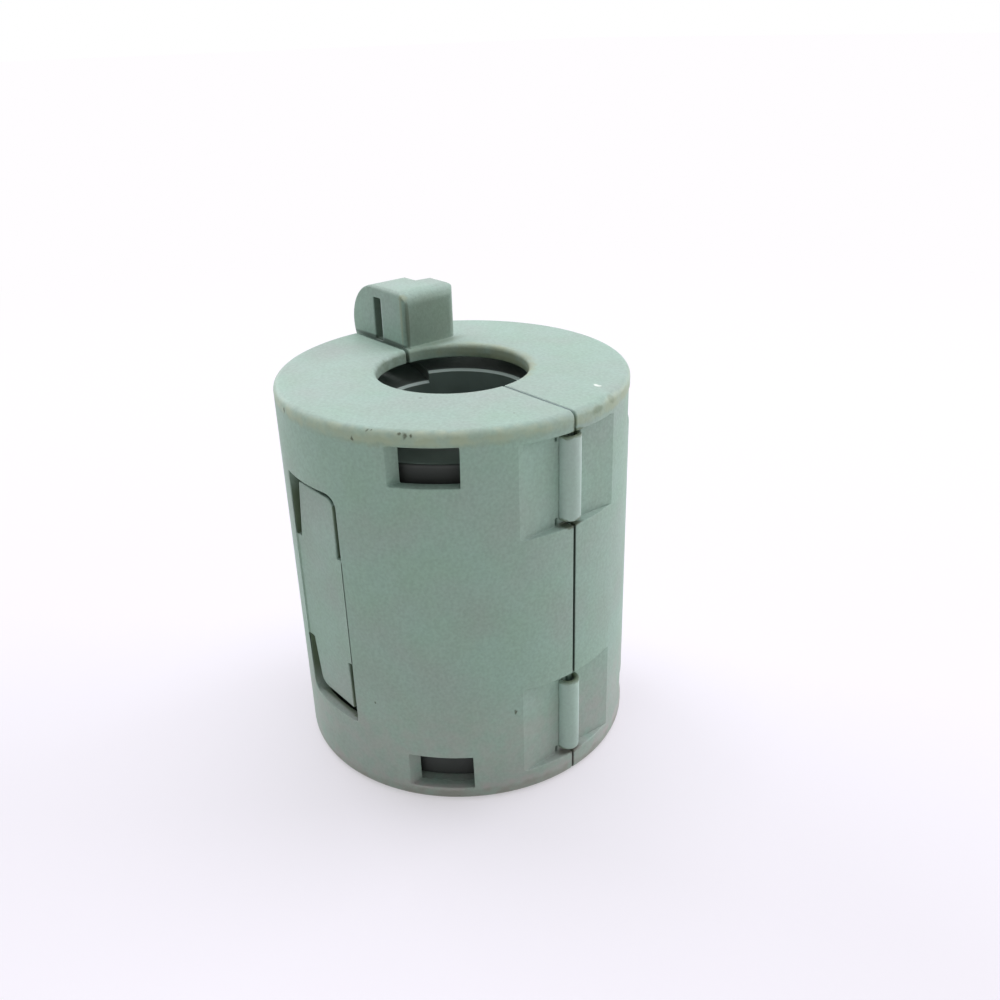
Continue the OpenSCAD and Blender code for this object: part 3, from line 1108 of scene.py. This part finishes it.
@dataclass
class Studio:
    """Pale floor, soft lamps, surroundings and camera. None of it is part of the object.

    Attributes:
        floor_size: Side of the floor, in metres.
        floor_seen: Colour of the floor in the picture.
        floor_thrown: Colour of the light that it throws on the object.
        glow: Colour that the floor has far away.
        glow_span: Distances from the object between which the glow comes up, in metres.
        glow_share: Shares of the glow at those distances.
        room_seen: Colour of the surroundings in the picture.
        room_thrown: Colour of the light that they throw on the object.
        room_strength: Strength of that light.
        lamps_aim: Point that the lamps face, in metres.
        camera_at: Place of the camera, in metres.
        camera_right: Direction that points right in the picture.
        camera_up: Direction that points up in the picture.
        lens_mm: Focal length of the camera.
        sensor_mm: Width of its sensor.
        clip_from: Distance at which the picture begins, in metres.
    """

    floor_size: float = 6.0
    floor_seen: str = "#F3EBFC"
    floor_thrown: str = "#E4EAE3"
    glow: str = "#FFFDFF"
    glow_span: Pair = (0.03, 0.22)
    glow_share: Pair = (0.45, 1.0)
    room_seen: str = "#FFFFFF"
    room_thrown: str = "#F1FAF3"
    room_strength: float = 0.33
    lamps_aim: Triple = (0, 0, 0.018)
    camera_at: Triple = (0.064581, -0.048472, 0.060156)
    camera_right: Triple = (0.64571, 0.76316, -0.02536)
    camera_up: Triple = (-0.31658, 0.29779, 0.90061)
    lens_mm: float = 35.66
    sensor_mm: float = 36.0
    clip_from: float = 0.002

    def floor(self) -> None:
        """Lays the floor, which stays pale to the camera and keeps the object's shadow."""
        deselect_all()
        bpy.ops.mesh.primitive_plane_add(size=self.floor_size)
        floor = bpy.context.object
        floor.name = "studio_floor"
        # Plain pale paper, which glows further away so that it has no horizon.
        material, tree = new_material("pale_paper")
        seen = self.seen(tree)
        sheet = add(
            tree,
            "ShaderNodeMix",
            {MIX_FACTOR: seen, MIX_A: linear(self.floor_thrown), MIX_B: linear(self.floor_seen)},
            data_type="RGBA",
        ).outputs[MIX_RESULT]
        paper = add(tree, "ShaderNodeBsdfDiffuse", {"Color": sheet})
        white = add(tree, "ShaderNodeEmission", {"Color": linear(self.glow), "Strength": 1.0})
        place = add(tree, "ShaderNodeTexCoord").outputs["Object"]
        away = add(tree, "ShaderNodeVectorMath", {0: place}, operation="LENGTH").outputs["Value"]
        near, far = self.glow_span
        low, high = self.glow_share
        glow = add(
            tree,
            "ShaderNodeMapRange",
            {"Value": away, "From Min": near, "From Max": far, "To Min": low, "To Max": high},
            interpolation_type="SMOOTHSTEP",
        ).outputs["Result"]
        share = add(tree, "ShaderNodeMath", {0: seen, 1: glow}, operation="MULTIPLY")
        both = add(
            tree,
            "ShaderNodeMixShader",
            {0: share.outputs["Value"], 1: paper.outputs["BSDF"], 2: white.outputs["Emission"]},
        )
        add(tree, "ShaderNodeOutputMaterial", {"Surface": both.outputs["Shader"]})
        dress(floor, material)

    def seen(self, tree: Tree) -> Socket:
        """Adds nodes that tell rays which show a surface from rays which light one.

        Args:
            tree: Node tree that gets the nodes.

        Returns:
            A socket that is 1 for camera, glossy and transmission rays.
        """
        path = add(tree, "ShaderNodeLightPath")
        shiny = add(
            tree,
            "ShaderNodeMath",
            {0: path.outputs["Is Camera Ray"], 1: path.outputs["Is Glossy Ray"]},
            operation="MAXIMUM",
        )
        return add(
            tree,
            "ShaderNodeMath",
            {0: shiny.outputs["Value"], 1: path.outputs["Is Transmission Ray"]},
            operation="MAXIMUM",
        ).outputs["Value"]

    def surroundings(self) -> None:
        """Makes surroundings that look white and light the object softly."""
        world = bpy.data.worlds.new("studio_room")
        bpy.context.scene.world = world
        world.use_nodes = True
        tree = world.node_tree
        tree.nodes.clear()
        thrown = {"Color": linear(self.room_thrown), "Strength": self.room_strength}
        shown = {"Color": linear(self.room_seen), "Strength": 1.0}
        room = add(tree, "ShaderNodeBackground", thrown).outputs["Background"]
        white = add(tree, "ShaderNodeBackground", shown).outputs["Background"]
        both = add(tree, "ShaderNodeMixShader", {0: self.seen(tree), 1: room, 2: white})
        add(tree, "ShaderNodeOutputWorld", {"Surface": both.outputs["Shader"]})

    def lamp(self, name: str, at: Triple, size: float, watts: float) -> None:
        """Hangs a soft square lamp that faces the object.

        Args:
            name: Name of the lamp.
            at: Place of the lamp, in metres.
            size: Side of the lamp, in metres.
            watts: Power of the lamp.
        """
        data = bpy.data.lights.new(name, "AREA")
        data.size = size
        data.energy = watts
        lamp = bpy.data.objects.new(name, data)
        bpy.context.scene.collection.objects.link(lamp)
        lamp.location = at
        towards = Vector(self.lamps_aim) - Vector(at)
        lamp.rotation_euler = towards.to_track_quat("-Z", "Y").to_euler()

    def lamps(self) -> None:
        """Hangs the overhead lamp and the two weaker ones behind the object's sides."""
        self.lamp("overhead_lamp", (-0.05, 0.1, 0.5), size=0.45, watts=1.68)
        self.lamp("left_lamp", (-0.4, -0.05, 0.22), size=0.3, watts=0.82)
        self.lamp("right_lamp", (0.15, 0.4, 0.2), size=0.3, watts=0.9)

    def camera(self) -> None:
        """Sets up the camera."""
        data = bpy.data.cameras.new("camera")
        data.lens = self.lens_mm
        data.sensor_width = self.sensor_mm
        data.clip_start = self.clip_from
        right, up = Vector(self.camera_right), Vector(self.camera_up)
        turned = Matrix((right, up, right.cross(up))).transposed().to_4x4()
        turned.translation = Vector(self.camera_at)
        camera = bpy.data.objects.new("camera", data)
        bpy.context.scene.collection.objects.link(camera)
        camera.matrix_world = turned
        bpy.context.scene.camera = camera

    def build(self) -> None:
        """Builds the whole studio."""
        self.floor()
        self.surroundings()
        self.lamps()
        self.camera()
        bpy.context.scene.view_settings.view_transform = "Standard"


def main() -> None:
    """Builds the object round its frame, then the studio."""
    logging.basicConfig(level=logging.INFO, format="%(name)s: %(message)s")
    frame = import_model()
    solids = frame["nodes"]
    case = NylonCase(solids)
    pieces = [case.front(), case.back()]
    for node in ("upper_hinge_strap", "lower_hinge_strap"):
        low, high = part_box(node)
        pieces.append(HingeWeb(node, low.z / MM, high.z / MM).build(case.nylon))
    pieces += FerriteCores(solids).dress()
    for piece in pieces:
        LOG.info("%s: %d faces", piece.name, len(piece.data.polygons))
    Studio().build()


if __name__ == "__main__":
    main()
